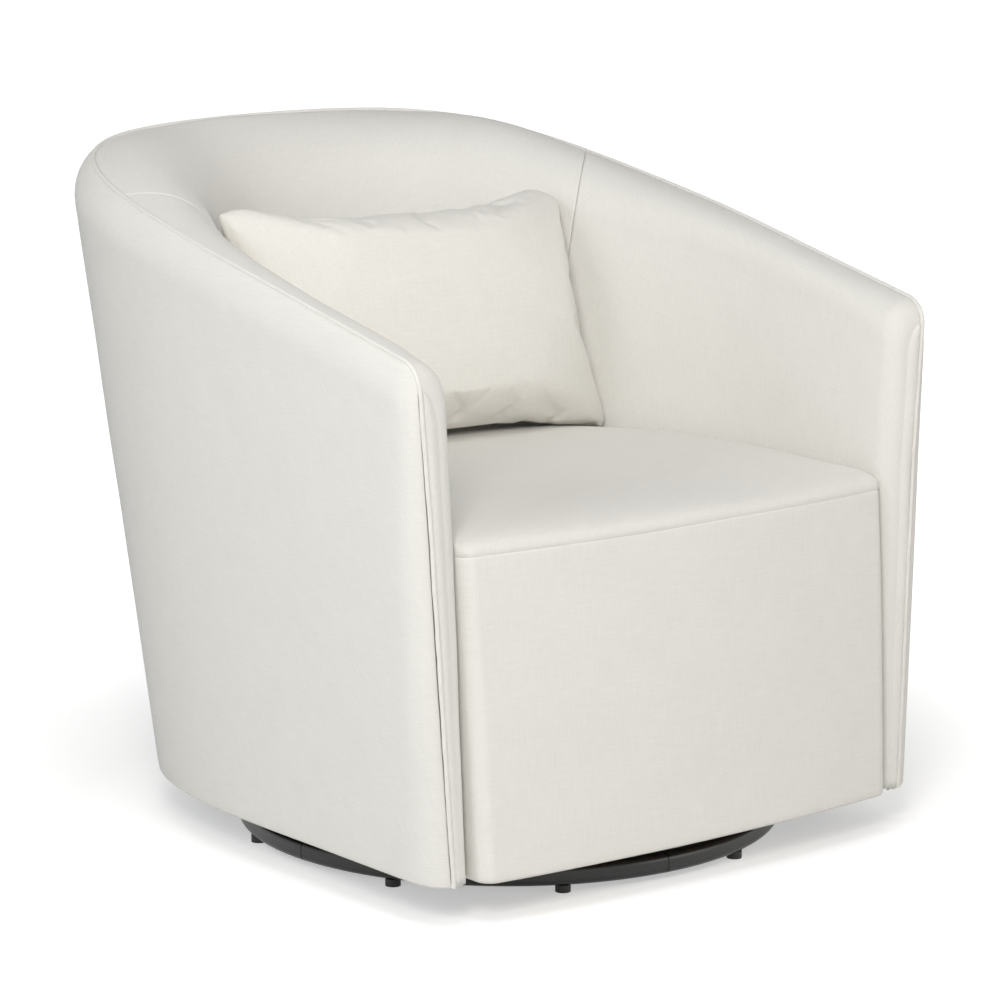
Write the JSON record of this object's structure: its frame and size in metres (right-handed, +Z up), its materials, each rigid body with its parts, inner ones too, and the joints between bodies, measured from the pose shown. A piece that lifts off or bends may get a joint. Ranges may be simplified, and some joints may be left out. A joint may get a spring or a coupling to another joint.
{
  "type": "swivel armchair",
  "caption": "Upholstered barrel armchair with welted sloping arms, tight crowned seat and a loose lumbar pillow, turning on a black ring base.",
  "frame": {"origin": "on the floor, in the middle of the chair's outline", "axes": "+Z up, the chair's front faces -Y, +X to the sitter's left"},
  "size_m": [0.7332, 0.8304, 0.7626],
  "materials": {
    "ivory_fabric": "fine plain weave, matt",
    "pillow_fabric": "fine plain weave, matt",
    "foam": "foam and wadding, matt",
    "fibre_board": "stiff fibre sheet",
    "timber": "plain sawn and plywood",
    "black_steel": "satin black",
    "bright_steel": "zinc plated",
    "black_plastic": "matt",
    "dust_cloth": "thin felted cloth"
  },
  "bodies": {
    "base": {"base_ring": "black_steel", "floor_glides": "black_plastic", "cross_bars": "black_steel", "hub_plate": "black_steel", "lower_race": "bright_steel", "pivot_stud": "bright_steel", "pivot_washer": "bright_steel", "pivot_nut": "bright_steel"},
    "chair": {"arm_board_left": "timber", "arm_board_right": "timber", "arm_cover_left": "ivory_fabric", "arm_cover_right": "ivory_fabric", "arm_front_pad_left": "foam", "arm_front_pad_right": "foam", "arm_pad_left": "foam", "arm_pad_right": "foam", "arm_post_left": "timber", "arm_post_right": "timber", "arm_rail_left": "timber", "arm_rail_right": "timber", "back_board": "timber", "back_cover": "ivory_fabric", "back_pad": "foam", "back_rail": "timber", "back_ribs": "timber", "bottom_panel": "timber", "dust_cover": "dust_cloth", "front_board": "timber", "front_cover": "ivory_fabric", "front_pad": "foam", "outside_backing": "fibre_board", "outside_cover": "ivory_fabric", "pivot_bush": "black_plastic", "plate_bolts": "bright_steel", "seat_cover": "ivory_fabric", "seat_foam": "foam", "seat_legs": "timber", "seat_rail_back": "timber", "seat_rail_front": "timber", "seat_rail_left": "timber", "seat_rail_right": "timber", "seat_springs": "bright_steel", "spring_clips": "black_plastic", "spring_pad": "foam", "tee_nuts": "bright_steel", "top_plate": "black_steel", "upper_race": "bright_steel", "welt_cord": "ivory_fabric"},
    "bearing": {"ball_cage": "black_plastic", "bearing_balls": "bright_steel"},
    "pillow": {"pillow_cover": "pillow_fabric", "pillow_insert": "foam"}
  },
  "joints": [
    {"name": "swivel", "type": "hinge", "parent": "base", "child": "chair", "pos_m": [0, -0.0815, 0.04], "axis": [0, 0, 1], "continuous": true},
    {"name": "cage_orbit", "type": "hinge", "parent": "base", "child": "bearing", "pos_m": [0, -0.0815, 0.04], "axis": [0, 0, 1], "continuous": true},
    {"name": "pillow_lift", "type": "slide", "parent": "chair", "child": "pillow", "axis": [0, 0, 1], "range_m": [0, 0.42]}
  ],
  "couplings": [
    {"joint": "cage_orbit", "follows": "swivel", "ratio": 0.5}
  ]
}
